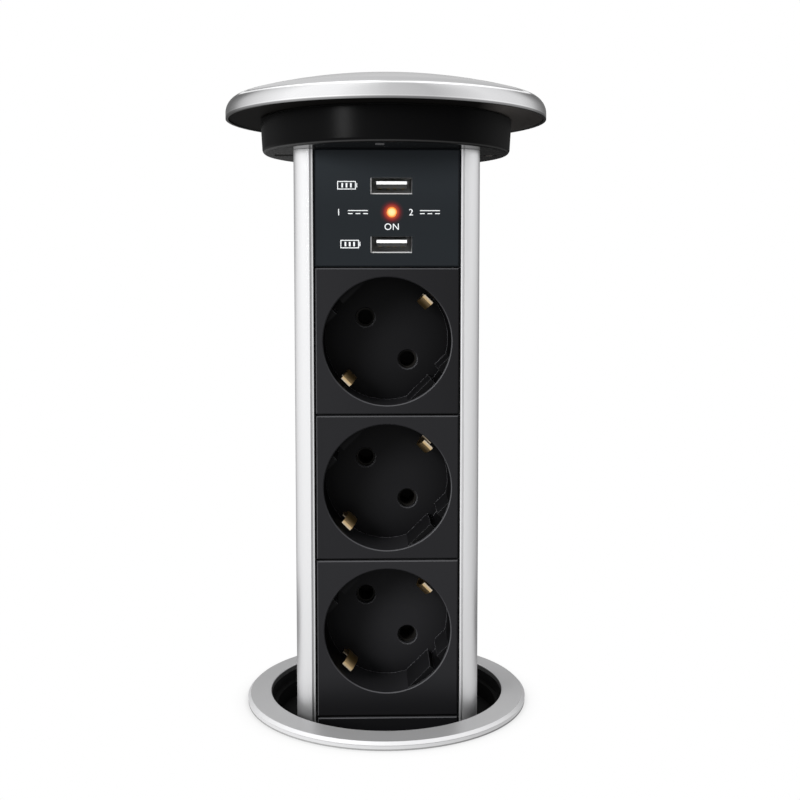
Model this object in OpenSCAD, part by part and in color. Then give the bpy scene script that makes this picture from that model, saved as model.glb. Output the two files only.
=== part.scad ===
// Raised pop up socket tower that stands in a round hole in a desk, in millimetres.
// Z runs up the tower, the sockets face -Y, and the origin is on the desk surface at the centre of the hole.

/* [Sockets] */
// Diameter of the plug recess
recess_d = 39.1; // [38.5:0.1:41]
// Depth of the plug recess
recess_depth = 17.5; // [16:0.5:19]
// Wall of the recess cup
cup_wall = 1.5; // [1.2:0.1:2]
// Thickness of the recess floor
floor_t = 2.5; // [2:0.1:3.5]
// Height of one socket module
module_pitch = 45; // [44.5:0.5:50]
// Distance between the two pin holes
pin_spacing = 19; // [18:0.5:20]
// Diameter of a pin hole in the recess floor
pin_hole_d = 6; // [5.2:0.1:6.4]
// Turn of each socket about its own axis, in degrees
socket_turn = 45; // [30:5:45]
// Bevel round a pin hole
pin_bevel = 0.3; // [0.2:0.1:0.6]
// How far the long guide keys stand in from the recess wall
key_depth = 1.95; // [1.4:0.05:2.4]
// How far the short guide keys stand in from the recess wall
nib_depth = 2.7; // [1.6:0.05:3.2]
// Groove between the long and the short guide key of a pair
key_gap = 3.8; // [3:0.1:5]
// Middle of that groove away from the line of the pins
key_shift = 3.1; // [0:0.1:4]
// Setback of the guide keys from the mouth of the recess
key_set = 1.2; // [0.8:0.1:3]
// Bevel round the mouth of the recess
mouth_bevel = 0.3; // [0.2:0.1:0.8]

/* [Contacts] */
// Width of the earth strap
strap_w = 3.6; // [3:0.2:5]
// Thickness of the earth strap
strap_t = 0.7; // [0.6:0.1:1.2]
// Gap between the earth arms and the recess wall
arm_set = 1.3; // [1:0.1:2]
// How far the earth arms bulge towards the plug
arm_bulge = 2.55; // [1.5:0.05:2.8]
// Setback of the arm tips from the mouth of the recess
arm_tip = 4.2; // [3:0.1:6]
// Diameter of the stud that joins the strap to the earth bar
stud_d = 3; // [2:0.2:3.4]
// Bore of a pin sleeve
sleeve_bore = 4.9; // [4.8:0.05:5.1]
// Wall of a pin sleeve
sleeve_wall = 0.8; // [0.6:0.1:1]
// Thickness of the contact carrier
carrier_t = 10.5; // [8:0.5:13]
// Plastic round the sleeves in the contact carrier
carrier_rim = 1.6; // [1:0.1:2]
// How far the sleeves stand out behind the carrier
sleeve_proud = 1.5; // [1:0.1:3]
// Thickness of the live, neutral and earth bars
bar_t = 1; // [0.8:0.1:1.5]
// Width of the live and neutral bars
bar_w = 4; // [3:0.2:5]

/* [Column] */
// Height of the USB panel
usb_h = 35.4; // [34:0.2:42]
// Extra height of the lowest socket plate
skirt_h = 4.5; // [3:0.5:8]
// Lower edge of the lowest socket plate above the desk
plate_z = 0.55; // [0.2:0.05:1]
// Height of the foot plate below the socket plates
foot_h = 7.6; // [7:0.2:12]
// Gap between neighbouring plates
seam = 0.4; // [0.2:0.1:0.8]
// Bevel on the front edges of the plates
plate_bevel = 0.4; // [0.2:0.05:0.6]
// Width of the rail seen from the front
rail_face = 6.1; // [5.8:0.1:6.2]
// Radius of the rail's rounded corners
rail_r = 6.3; // [6.2:0.1:7]
// Side wall of the rail
rail_wall = 2; // [1.6:0.1:2.2]
// Wall of the rail in front of the plate slot
rail_lip = 2.1; // [1.8:0.1:2.4]
// Wall of the rail behind the plate slot
rail_shelf = 1.7; // [1.4:0.1:2.4]
// Shadow gap between a plate and the rail
panel_gap = 0.5; // [0.3:0.1:0.8]
// Setback of the plates behind the front of the rails
panel_set = 0.6; // [0.3:0.1:1]
// Room between the recess cup and the rail
side_room = 1.3; // [1:0.1:2]
// Thickness of the wings that hold a plate in the rail slots
wing_t = 2; // [1.6:0.1:2.4]
// Reach of the wings into the rail slots
wing_reach = 2.45; // [1.5:0.05:2.5]
// Room round the wings in the rail slots
slot_play = 0.1; // [0.05:0.05:0.2]
// Width of the decorative groove in the rail
groove_w = 0.6; // [0.4:0.1:0.8]
// Depth of the decorative groove in the rail
groove_depth = 0.7; // [0.4:0.1:1]
// Land between the rail's edge and its groove
groove_land = 0.45; // [0.3:0.05:0.8]
// Room between the bars and the back cover
rear_room = 2.7; // [1.5:0.1:6]
// Bore of the rail's screw ports
port_bore = 2.6; // [2.4:0.1:3]
// Wall of the rail's screw ports
port_wall = 1.3; // [1:0.1:1.4]
// Distance of the screw ports from the middle of the rail
port_y = 9; // [6:0.5:10]

/* [USB panel] */
// Width of a USB opening
usb_w = 12.2; // [12.1:0.1:12.6]
// Height of a USB opening
usb_t = 4.6; // [4.5:0.1:5.1]
// Sheet thickness of a USB shell
usb_sheet = 0.35; // [0.25:0.05:0.4]
// Skin of the panel in front of a USB shell
usb_skin = 0.6; // [0.4:0.1:1]
// Width of a contact tongue
tongue_w = 9.2; // [8:0.1:11]
// Distance between the two USB ports
usb_pitch = 17.6; // [16:0.2:19]
// USB ports and lamp to the right of the middle
usb_x = 1.4; // [-2:0.2:2]
// Middle of the two ports below the middle of the panel
usb_drop = 1.95; // [0:0.05:3]
// Lamp above the middle of the two ports
lamp_rise = 0.8; // [0:0.1:2]
// Diameter of the lamp
lamp_d = 3; // [2.5:0.1:4]
// How far the lamp's lens bulges out of the panel
lens_rise = 0.5; // [0.3:0.1:0.8]
// Depth of the posts that carry the charger board
post_h = 10.4; // [9:0.2:11]
// Diameter of those posts
post_d = 5; // [4.5:0.1:5.5]
// Thickness of the charger board
board_t = 1.6; // [1:0.2:2]
// Bare edge between the charger board and its bay
board_edge = 1.6; // [1:0.2:2.4]

/* [Lid] */
// Height of the collar under the lid
collar_h = 10.9; // [8:0.1:14]
// How far the collar rests on the flange ring when the tower is down
collar_seat = 1.45; // [1:0.05:3]
// Floor of the collar
collar_floor = 2.5; // [2:0.1:3.5]
// Side wall of the collar
collar_wall = 2; // [1.5:0.1:2.5]
// Rounding of the collar's lower edge
collar_round = 1.4; // [1:0.1:1.8]
// Shadow groove between the collar and the lid
collar_neck = 0.6; // [0.3:0.1:1]
// How far the lid reaches past the collar
lid_overhang = 11.3; // [8:0.1:16]
// Thickness of the lid's black base plate
lid_plate_t = 2; // [1.5:0.1:3]
// How far the bright rim hangs below the base plate
rim_drop = 0.4; // [0.2:0.1:0.8]
// Wall of the bright rim
rim_wall = 0.8; // [0.6:0.1:1.2]
// Rounding between the rim and the dome
rim_round = 5; // [3:0.5:5.5]
// Height of the lid from the rim's lower edge to the top of the dome
lid_h = 13.2; // [13:0.1:18]
// Radius of the dome
dome_r = 168; // [155:1:220]
// Wall of the dome
dome_wall = 1.2; // [0.8:0.1:1.4]
// Width of the lid's snap clips
clip_w = 5; // [4:0.2:6]
// Thickness of the lid's snap clips
clip_t = 2; // [1.6:0.1:2.2]
// Catch of the snap clips
clip_hook = 1.2; // [0.8:0.1:1.4]
// Room behind a snap clip to spring back in its window
clip_room = 2.4; // [1.4:0.1:2.6]

/* [Desk mount] */
// Thickness of the desk that the clamp is set to
desk_t = 25; // [15:1:45]
// Room between the tower's corners and the stop ring
tower_room = 3.1; // [2.5:0.1:5]
// Width of the stop ring's lip
stop_lip = 1.8; // [1.5:0.1:3]
// Height of the stop ring
stop_h = 5; // [4:0.2:5.4]
// Wall of the barrel
barrel_wall = 1.75; // [1.5:0.05:3]
// Width of the flange ring from its bore to its edge
flange_w = 7.65; // [7:0.05:14]
// Height of the flange ring at its bore
flange_h = 3; // [2.8:0.1:4]
// Fall of the flange's top face towards its edge
flange_fall = 0.5; // [0.2:0.1:0.8]
// Bevel at the flange's edge
flange_bevel = 0.9; // [0.6:0.1:1.1]
// How far the flange's side is set in below that bevel
flange_step = 0.15; // [0.1:0.05:0.2]
// Wall of the flange ring outside the barrel's lip
flange_skirt = 0.9; // [0.6:0.1:1.2]
// Thickness of the barrel's lip under the flange ring
barrel_lip = 0.9; // [0.7:0.1:1]
// Thickness of the gasket on the desk
gasket_t = 0.4; // [0.3:0.1:0.6]
// Height of the guide foot
guide_h = 30; // [24:1:40]
// Top plate of the guide foot
guide_plate = 4; // [3:0.2:6]
// Skirt of the guide foot
guide_wall = 3; // [2.6:0.1:4]
// Gap between the guide foot and the barrel
guide_gap = 0.55; // [0.5:0.05:0.8]
// Gap between the glide pads and the barrel
pad_gap = 0.3; // [0.2:0.05:0.4]
// Width of a glide pad
pad_w = 9; // [6:0.5:12]
// Height of a glide pad
pad_h = 16; // [10:1:18]
// Thickness of a glide pad
pad_t = 1.8; // [1.4:0.1:2]
// Width of the ribs that stop the column from turning
rib_w = 4; // [3:0.2:5]
// Height of those ribs
rib_h = 1.4; // [1:0.1:1.5]
// Room below the lowered guide foot
end_room = 4; // [2:0.5:20]
// Height of the cap's spigot in the barrel
spigot_h = 6; // [5:0.5:9]
// Wall of that spigot
spigot_wall = 2; // [1.6:0.1:2.4]
// Thickness of the barrel cap
cap_t = 3; // [2:0.2:4]
// Bore of the cable grommet
cable_d = 8; // [6:0.2:10]
// Wall of the cable grommet
grommet_wall = 4; // [3:0.2:5]
// Reach of the grommet's flanges past the hole in the cap
grommet_flange = 2.5; // [2:0.1:4]
// Width of the clamp washer
washer_w = 7.2; // [5:0.1:10]
// Thickness of the clamp washer
washer_t = 2; // [1.5:0.1:3]
// Height of the clamp nut
nut_h = 12; // [8:0.5:16]
// Wall of the clamp nut
nut_wall = 4.6; // [4:0.1:6]
// Number of grip ribs on the clamp nut
nut_ribs = 16; // [8:2:24]
// Radius of a grip rib
nut_rib_r = 1.8; // [1.2:0.1:2.4]

/* [Hidden] */
$fn = 64;
SOCKETS = [1, 2, 3];
// Lugs of the barrel cap, and the height of the board leads above the foot of the USB panel
lug_w = 8;
lug_h = 3;
lead_rise = 5;
// Clearances between pieces of one body, between pieces that slide, and round screws
fit = 0.1;
slide_gap = 0.35;
thread_gap = 0.35;
screw_play = 0.3;
// Overlap that keeps cuts clear of the faces that they leave
cut = 1;

recess_r = recess_d / 2;
cup_r = recess_r + cup_wall;
arm_out = recess_r - arm_set;
pin_x = pin_spacing / 2;
sleeve_r = sleeve_bore / 2 + sleeve_wall;

// Column across: recess, cup, room and rails
tower_w = recess_d + 2 * (cup_wall + side_room + rail_face);
lip_x = tower_w / 2 - rail_face;
panel_half = lip_x - panel_gap;
wing_half = lip_x + wing_reach;
port_x = tower_w / 2 - rail_wall - port_bore / 2;

// Column from front to back: everything follows from the rail's front face
cover_depth = rail_lip + slot_play + wing_t;
tower_d = panel_set + recess_depth + floor_t + strap_t + carrier_t + sleeve_proud + bar_t + rear_room
    + cover_depth;
rail_front = -tower_d / 2;
face_y = rail_front + panel_set;
wing_front = rail_front + rail_lip + slot_play;
wing_back = wing_front + wing_t;
shelf_back = wing_back + slot_play + rail_shelf;
floor_front = face_y + recess_depth;
floor_back = floor_front + floor_t;
strap_back = floor_back + strap_t;
carrier_back = strap_back + carrier_t;
bar_front = carrier_back + sleeve_proud;
bar_back = bar_front + bar_t;
board_front = wing_back + post_h;
board_back = board_front + board_t;

// Column upwards
usb_z = plate_z + skirt_h + len(SOCKETS) * module_pitch;
tower_top = usb_z + usb_h;
guide_top = plate_z - foot_h;
port_mid_z = usb_z + usb_h / 2 - usb_drop;
lamp_z = port_mid_z + lamp_rise;
function socket_z(i) = plate_z + skirt_h + (len(SOCKETS) - i + 0.5) * module_pitch;

// Bars behind the sockets and the terminal block at their foot
bar_x = pin_x * cos(socket_turn);
bar_rise = pin_x * sin(socket_turn);
earth_bar_w = 3;
term_h = 13;
term_w = 32;
term_deep = bar_front - floor_back - 6;
term_top = guide_top + term_h;
term_front = bar_back - term_deep;
lead_z = usb_z + lead_rise;
lead_d = 1.6;

// Mount: stop ring, barrel and flange follow from the tower's corners
corner_reach = norm([tower_w / 2 - rail_r, tower_d / 2 - rail_r]) + rail_r;
stop_r = corner_reach + tower_room;
bore_r = stop_r + stop_lip;
barrel_r = bore_r + barrel_wall;
flange_r = bore_r + flange_w;
lip_r = flange_r - flange_skirt - fit;
lip_top = gasket_t + barrel_lip;
guide_r = bore_r - guide_gap;
pad_r = bore_r - pad_gap;
stop_play = 0.1;
stop_bottom = guide_top + stop_play;
rest_gap = 0.1;
travel = tower_top - flange_h - rest_gap;
guide_bottom = guide_top - guide_h;
barrel_bottom = guide_bottom - travel - end_room - spigot_h;
hole_r = cable_d / 2 + grommet_wall;
washer_top = -desk_t;
nut_top = washer_top - washer_t - fit;
nut_bore_r = barrel_r + thread_gap;

// Lid
collar_r = bore_r + collar_seat;
lid_r = collar_r + lid_overhang;
plate_bottom = tower_top + collar_h;
plate_top = plate_bottom + lid_plate_t;
rim_bottom = plate_bottom - rim_drop;
dome_z = rim_bottom + lid_h - dome_r;
clip_x = (tower_w / 2 + collar_r - collar_wall) / 2 - clip_t / 2;

// Screws
rail_screw_d = port_bore - 0.2;
rail_screw_deep = 9;
screw_head_d = 5.4;
screw_head_h = 1.8;
board_screw_d = 2.2;
terminal_screw_d = 3.6;
terminal_bore = 4;

// Round bar along Y between two depths
module along_y(r, y0, y1) {
    translate([0, y0, 0])
        rotate([-90, 0, 0])
            cylinder(r = r, h = y1 - y0);
}

// Cone that bevels the mouth of a round hole along Y
module bevelled_mouth(r, bevel, y) {
    translate([0, y, 0])
        rotate([-90, 0, 0])
            cylinder(r1 = r + bevel, r2 = r, h = bevel);
}

// Block given by its lowest and highest corners
module block(low, high) {
    translate(low)
        cube(high - low);
}

// Tube standing on z0
module ring(r_in, r_out, z0, z1) {
    translate([0, 0, z0])
        difference() {
            cylinder(r = r_out, h = z1 - z0);
            translate([0, 0, -cut])
                cylinder(r = r_in, h = z1 - z0 + 2 * cut);
        }
}

// Profile in the YZ plane drawn along X over a width that is centred on the middle
module across_x(width) {
    translate([-width / 2, 0, 0])
        rotate([90, 0, 90])
            linear_extrude(width)
                children();
}

// Rectangle with rounded corners
module rounded_rect(w, d, r) {
    square([w - 2 * r, d], center = true);
    square([w, d - 2 * r], center = true);
    for (sx = [-1, 1], sy = [-1, 1])
        translate([sx * (w / 2 - r), sy * (d / 2 - r)])
            circle(r);
}

// Front plate between two heights: bevelled face, and wings that run in the rail slots
module slotted_plate(z0, z1) {
    b = plate_bevel;
    intersection() {
        translate([0, 0, z0])
            linear_extrude(z1 - z0)
                polygon([
                    [-panel_half, wing_back], [-panel_half, face_y + b], [-panel_half + b, face_y],
                    [panel_half - b, face_y], [panel_half, face_y + b], [panel_half, wing_back]
                ]);
        across_x(2 * panel_half)
            polygon([
                [wing_back, z0], [face_y + b, z0], [face_y, z0 + b],
                [face_y, z1 - b], [face_y + b, z1], [wing_back, z1]
            ]);
    }
    block([-wing_half, wing_front, z0], [wing_half, wing_back, z1]);
}

// Places of the four rail screws
module at_ports() {
    for (sx = [-1, 1], sy = [-1, 1])
        translate([sx * port_x, sy * port_y, 0])
            children();
}

// Pan head screw, tip up, with its head's seat on z = 0
module screw_up(d, deep) {
    cylinder(d = d, h = deep);
    translate([0, 0, -screw_head_h])
        cylinder(d = screw_head_d, h = screw_head_h);
}

// Socket's own frame: its axis at the origin, pins along X, earth arms along Z
module at_socket(i) {
    translate([0, 0, socket_z(i)])
        rotate([0, socket_turn, 0])
            children();
}

module flange_ring() {
    edge_z = flange_h - flange_fall - flange_bevel;
    color("silver")
        rotate_extrude()
            polygon([
                [bore_r, lip_top], [bore_r, flange_h - flange_fall / 2],
                [bore_r + flange_fall / 2, flange_h],
                [flange_r - flange_bevel, flange_h - flange_fall],
                [flange_r, edge_z], [flange_r - flange_step, edge_z - flange_step],
                [flange_r - flange_step, gasket_t],
                [flange_r - flange_skirt, gasket_t], [flange_r - flange_skirt, lip_top]
            ]);
}

module flange_gasket() {
    color("dimgray")
        ring(barrel_r + fit, flange_r - fit, 0, gasket_t);
}

// Windows in the barrel that take the lugs of the cap
module cap_lugs(grow) {
    w = lug_w + 2 * grow;
    h = lug_h + 2 * grow;
    for (a = [30, 150, 270])
        rotate(a)
            translate([bore_r - spigot_wall, -w / 2, barrel_bottom + spigot_h / 2 - h / 2])
                cube([spigot_wall + barrel_wall - fit + grow * 2, w, h]);
}

module barrel() {
    color("dimgray") {
        difference() {
            union() {
                ring(bore_r, barrel_r, barrel_bottom, lip_top);
                ring(bore_r, lip_r, gasket_t, lip_top);
            }
            cap_lugs(fit);
        }
        for (a = [0, 180])
            rotate(a)
                intersection() {
                    block([bore_r - rib_h, -rib_w / 2, barrel_bottom + spigot_h],
                          [bore_r + barrel_wall / 2, rib_w / 2, stop_bottom - fit]);
                    cylinder(r = bore_r + barrel_wall / 2, h = 4 * travel, center = true);
                }
    }
}

module stop_ring() {
    color("black")
        ring(stop_r, bore_r, stop_bottom, stop_bottom + stop_h);
}

module barrel_cap() {
    color("dimgray")
        difference() {
            union() {
                ring(hole_r, barrel_r, barrel_bottom - cap_t, barrel_bottom);
                ring(bore_r - fit - spigot_wall, bore_r - fit, barrel_bottom, barrel_bottom + spigot_h);
                intersection() {
                    cap_lugs(0);
                    ring(bore_r - fit - spigot_wall, barrel_r - fit, barrel_bottom, barrel_bottom + spigot_h);
                }
            }
            for (a = [0, 180])
                rotate(a)
                    block([bore_r - rib_h - fit, -rib_w / 2 - fit, barrel_bottom + spigot_h - cut],
                          [bore_r + cut, rib_w / 2 + fit, barrel_bottom + spigot_h + cut]);
        }
}

module cable_grommet() {
    color("black") {
        rotate_extrude()
            polygon([
                [cable_d / 2, barrel_bottom - cap_t - grommet_flange],
                [hole_r, barrel_bottom - cap_t - grommet_flange],
                [hole_r + grommet_flange, barrel_bottom - cap_t],
                [hole_r - fit, barrel_bottom - cap_t], [hole_r - fit, barrel_bottom],
                [hole_r + grommet_flange, barrel_bottom],
                [hole_r, barrel_bottom + grommet_flange], [cable_d / 2, barrel_bottom + grommet_flange]
            ]);
    }
}

module clamp_washer() {
    color("gainsboro")
        ring(barrel_r + slide_gap, barrel_r + slide_gap + washer_w, washer_top - washer_t, washer_top);
}

module clamp_nut() {
    nut_r = nut_bore_r + nut_wall;
    color("dimgray")
        difference() {
            union() {
                translate([0, 0, nut_top - nut_h])
                    cylinder(r = nut_r, h = nut_h);
                for (a = [0 : 360 / nut_ribs : 359])
                    rotate(a)
                        translate([nut_r - nut_rib_r / 4, 0, nut_top - nut_h])
                            cylinder(r = nut_rib_r, h = nut_h);
            }
            translate([0, 0, nut_top - nut_h - cut])
                cylinder(r = nut_bore_r, h = nut_h + 2 * cut);
        }
}

// Half section of the lid's outside, or of its hollow when set in: rim, rounded corner and spherical dome
module lid_section(inset) {
    corner_x = lid_r - rim_round;
    corner_z = dome_z + sqrt(pow(dome_r - rim_round, 2) - corner_x * corner_x);
    far = [corner_x, corner_z - dome_z] * 2;
    intersection() {
        translate([0, dome_z])
            circle(dome_r - inset, $fn = 360);
        polygon([
            [0, rim_bottom], [lid_r - inset, rim_bottom], [lid_r - inset, corner_z], [corner_x, corner_z],
            [far[0], dome_z + far[1]], [0, dome_z + far[1]]
        ]);
    }
    translate([corner_x, corner_z])
        intersection() {
            circle(rim_round - inset);
            translate([-rim_round, 0])
                square(2 * rim_round);
        }
}

module lid_shell() {
    color("silver")
        rotate_extrude()
            difference() {
                lid_section(0);
                translate([-cut, rim_bottom - cut])
                    square([lid_r - rim_wall + cut, plate_top - rim_bottom + cut]);
                intersection() {
                    lid_section(dome_wall);
                    translate([0, plate_top - cut])
                        square([lid_r, lid_h]);
                }
            }
}

module lid_plate() {
    color("black")
        difference() {
            translate([0, 0, plate_bottom])
                cylinder(r = lid_r - rim_wall - fit, h = lid_plate_t);
            for (s = [-1, 1])
                translate([s * (clip_x + clip_t / 2), 0, plate_bottom])
                    cube([clip_t + 2 * fit, clip_w + 2 * fit, 3 * lid_plate_t], center = true);
        }
}

// Snap clips: a head in the lid plate, an arm down through the collar and a catch under its floor
module lid_clips() {
    ledge = tower_top + collar_floor / 2;
    color("black")
        for (s = [0, 1])
            mirror([s, 0, 0])
                rotate([90, 0, 0])
                    translate([0, 0, -clip_w / 2])
                        linear_extrude(clip_w)
                            polygon([
                                [clip_x, plate_top], [clip_x + clip_t, plate_top],
                                [clip_x + clip_t, ledge - fit], [clip_x + clip_t + clip_hook, ledge - fit],
                                [clip_x + clip_t, tower_top], [clip_x, tower_top]
                            ]);
}

module lid_collar() {
    draft = 0.5;
    ledge = tower_top + collar_floor / 2;
    color("black")
        difference() {
            rotate_extrude() {
                difference() {
                    union() {
                        polygon([
                            [0, tower_top], [collar_r - collar_round, tower_top],
                            [collar_r - collar_round, tower_top + collar_round],
                            [collar_r, tower_top + collar_round],
                            [collar_r + draft, plate_bottom - collar_neck],
                            [collar_r - collar_neck, plate_bottom - collar_neck],
                            [collar_r - collar_neck, plate_bottom], [0, plate_bottom]
                        ]);
                        translate([collar_r - collar_round, tower_top + collar_round])
                            circle(collar_round);
                    }
                    translate([-cut, tower_top + collar_floor])
                        square([collar_r - collar_wall - collar_neck + cut, collar_h]);
                    translate([-2 * collar_r, 0])
                        square([2 * collar_r, 2 * plate_bottom]);
                }
            }
            for (s = [0, 1])
                mirror([s, 0, 0]) {
                    block([clip_x - clip_room, -clip_w / 2 - fit, tower_top - cut],
                          [clip_x + clip_t + fit, clip_w / 2 + fit, plate_bottom]);
                    block([clip_x - clip_room, -clip_w / 2 - fit, tower_top - cut],
                          [clip_x + clip_t + clip_hook + 3 * fit, clip_w / 2 + fit, ledge]);
                }
            at_ports()
                translate([0, 0, tower_top - cut])
                    cylinder(d = rail_screw_d + screw_play, h = collar_floor + 2 * cut);
        }
}

// Right rail's extrusion: rounded corner blocks with plate slots, a side wall and two screw ports
module rail_section() {
    difference() {
        union() {
            difference() {
                rounded_rect(tower_w, tower_d, rail_r);
                translate([-tower_w, -tower_d])
                    square([tower_w + lip_x, 2 * tower_d]);
                translate([0, shelf_back])
                    square([tower_w / 2 - rail_wall, -2 * shelf_back]);
            }
            for (sy = [-1, 1])
                translate([port_x, sy * port_y])
                    circle(port_bore / 2 + port_wall);
        }
        for (sy = [0, 1])
            mirror([0, sy]) {
                translate([lip_x - cut, wing_front - slot_play])
                    square([wing_reach + 2 * slot_play + cut, wing_t + 2 * slot_play]);
                translate([lip_x + groove_land, rail_front - cut])
                    square([groove_w, cut + groove_depth]);
            }
        for (sy = [-1, 1])
            translate([port_x, sy * port_y])
                circle(d = port_bore);
    }
}

module right_rail() {
    color("silver")
        translate([0, 0, guide_top])
            linear_extrude(tower_top - guide_top)
                rail_section();
}

module left_rail() {
    mirror([1, 0, 0])
        right_rail();
}

module back_cover() {
    color("black")
        mirror([0, 1, 0])
            slotted_plate(guide_top, tower_top);
}

module foot_plate() {
    color("black")
        slotted_plate(guide_top, plate_z - seam);
}

// Piston below the column: round skirt with grooves for the barrel's ribs and pockets for the pads
module guide_foot() {
    color("dimgray")
        difference() {
            translate([0, 0, guide_bottom])
                cylinder(r = guide_r, h = guide_h);
            translate([0, 0, guide_bottom - cut])
                cylinder(r = guide_r - guide_wall, h = guide_h - guide_plate + cut);
            for (a = [0, 180])
                rotate(a)
                    block([bore_r - rib_h - slide_gap, -rib_w / 2 - slide_gap, guide_bottom - cut],
                          [bore_r + cut, rib_w / 2 + slide_gap, guide_top + cut]);
            pad_shapes(fit, 2 * guide_gap);
            translate([0, 0, guide_top - guide_plate - cut])
                cylinder(r = cable_d / 2 + 2, h = guide_plate + 2 * cut);
            at_ports()
                translate([0, 0, guide_top - guide_plate - cut])
                    cylinder(d = rail_screw_d + screw_play, h = guide_plate + 2 * cut);
        }
}

// The four pads, or their pockets where they grow by a clearance
module pad_shapes(grow, stand) {
    mid = guide_bottom + (guide_h - guide_plate) / 2;
    for (a = [45 : 90 : 315])
        intersection() {
            ring(guide_r - pad_t - grow, pad_r + stand, mid - pad_h / 2 - grow, mid + pad_h / 2 + grow);
            rotate(a)
                translate([0, -pad_w / 2 - grow, mid - pad_h])
                    cube([2 * bore_r, pad_w + 2 * grow, 2 * pad_h]);
        }
}

module glide_pads() {
    color("gray")
        pad_shapes(0, 0);
}

module rail_screws_top() {
    color("silver")
        at_ports()
            translate([0, 0, tower_top + collar_floor])
                mirror([0, 0, 1])
                    screw_up(rail_screw_d, collar_floor + rail_screw_deep);
}

module rail_screws_foot() {
    color("silver")
        at_ports()
            translate([0, 0, guide_top - guide_plate])
                screw_up(rail_screw_d, guide_plate + rail_screw_deep);
}

// Places of the two USB ports, on the front plane
module at_usb(k) {
    translate([usb_x, 0, port_mid_z + (k == 1 ? 1 : -1) * usb_pitch / 2])
        children();
}

// Places of the four posts that carry the charger board
module at_posts() {
    inset = board_edge + post_d / 2;
    for (sx = [-1, 1], z = [usb_z + inset, tower_top - inset])
        translate([sx * (panel_half - inset), 0, z])
            children();
}

// Panel whose windows leave the left and lower edges of the shells in sight
module usb_panel() {
    shell_w = usb_w + 2 * (usb_sheet + fit);
    shell_h = usb_t + 2 * (usb_sheet + fit);
    color("black")
        difference() {
            union() {
                slotted_plate(usb_z + seam / 2, tower_top);
                at_posts()
                    along_y(post_d / 2, wing_back - fit, board_front);
            }
            for (k = [1, 2])
                at_usb(k) {
                    block([-usb_w / 2 - usb_sheet, face_y - cut, -usb_t / 2 - usb_sheet],
                          [usb_w / 2, wing_back, usb_t / 2]);
                    block([-shell_w / 2, face_y + usb_skin, -shell_h / 2],
                          [shell_w / 2, wing_back + cut, shell_h / 2]);
                }
            translate([usb_x, 0, lamp_z])
                along_y(lamp_d / 2 + fit, face_y - cut, wing_back + cut);
            at_posts()
                along_y(board_screw_d / 2, board_front - post_h / 2, board_front + cut);
        }
}

module usb_shell(k) {
    color("silver")
        at_usb(k)
            difference() {
                block([-usb_w / 2 - usb_sheet, face_y + usb_skin + fit, -usb_t / 2 - usb_sheet],
                      [usb_w / 2 + usb_sheet, board_front, usb_t / 2 + usb_sheet]);
                block([-usb_w / 2, face_y - cut, -usb_t / 2],
                      [usb_w / 2, board_front + cut, usb_t / 2]);
            }
}

// Contact tongues with tapered tips, on their bases at the back of the shells
module usb_tongues() {
    tongue_t = 1.9;
    tip_t = 0.9;
    base = 3;
    top = usb_t / 2 - 1;
    tip = face_y + 1.4;
    color("white")
        for (k = [1, 2])
            at_usb(k) {
                block([-usb_w / 2 + fit, board_front - base, -usb_t / 2 + fit],
                      [usb_w / 2 - fit, board_front, usb_t / 2 - fit]);
                across_x(tongue_w)
                    polygon([
                        [tip, top], [tip, top - tip_t], [tip + tongue_t, top - tongue_t],
                        [board_front - base, top - tongue_t], [board_front - base, top]
                    ]);
            }
}

// Light guide from the board to the panel, with a domed front
module lamp_lens() {
    r = lamp_d / 2;
    dome = (r * r + lens_rise * lens_rise) / (2 * lens_rise);
    color("red")
        translate([usb_x, 0, lamp_z]) {
            along_y(r, face_y, board_front);
            intersection() {
                along_y(r, face_y - lens_rise, face_y + cut);
                translate([0, face_y - lens_rise + dome, 0])
                    sphere(dome);
            }
        }
}

module usb_board() {
    color("darkgreen")
        difference() {
            block([-panel_half + board_edge, board_front, usb_z + board_edge],
                  [panel_half - board_edge, board_back, tower_top - board_edge]);
            at_posts()
                along_y(board_screw_d / 2 + fit, board_front - cut, board_back + cut);
        }
}

// Transformer and two capacitors on the back of the charger board
module board_parts() {
    coil_w = 15;
    coil_h = 13;
    coil_deep = 9;
    can_d = 8;
    can_deep = 11;
    mid = usb_z + usb_h / 2;
    color("goldenrod") {
        translate([-coil_w / 4, 0, mid + 2])
            block([-coil_w / 2, board_back, -coil_h / 2], [coil_w / 2, board_back + coil_deep, coil_h / 2]);
        for (z = [mid - 4, mid + 6])
            translate([panel_half / 2 + 1, 0, z])
                along_y(can_d / 2, board_back, board_back + can_deep);
    }
}

module board_screws() {
    color("silver")
        at_posts() {
            along_y(board_screw_d / 2 - fit, board_front - post_h / 3, board_back);
            along_y(board_screw_d, board_back, board_back + board_screw_d / 2);
        }
}

// Leads from the live and neutral bars to the charger board
module board_leads() {
    color("peru")
        for (s = [-1, 1])
            translate([s * bar_x, 0, lead_z])
                along_y(lead_d / 2, board_back, bar_front);
}

// Guide keys: on each side of the recess a long and a short chord block with a groove between them
module guide_keys() {
    front = face_y + key_set;
    back = floor_front + floor_t / 2;
    intersection() {
        along_y(recess_r + cup_wall / 2, front, back);
        for (a = [0, 180])
            rotate([0, a, 0]) {
                block([recess_r - key_depth, front - cut, -recess_r],
                      [recess_d, back + cut, key_shift - key_gap / 2]);
                block([recess_r - nib_depth, front - cut, key_shift + key_gap / 2],
                      [recess_d, back + cut, recess_r]);
            }
    }
}

// Cup behind a socket plate, kept within the height of its module
module cup(i) {
    half = module_pitch / 2 - seam / 2;
    translate([0, 0, socket_z(i)])
        intersection() {
            along_y(cup_r, wing_back - fit, floor_back);
            block([-cup_r - cut, wing_back - cut, -half], [cup_r + cut, floor_back + cut, half]);
        }
}

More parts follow.
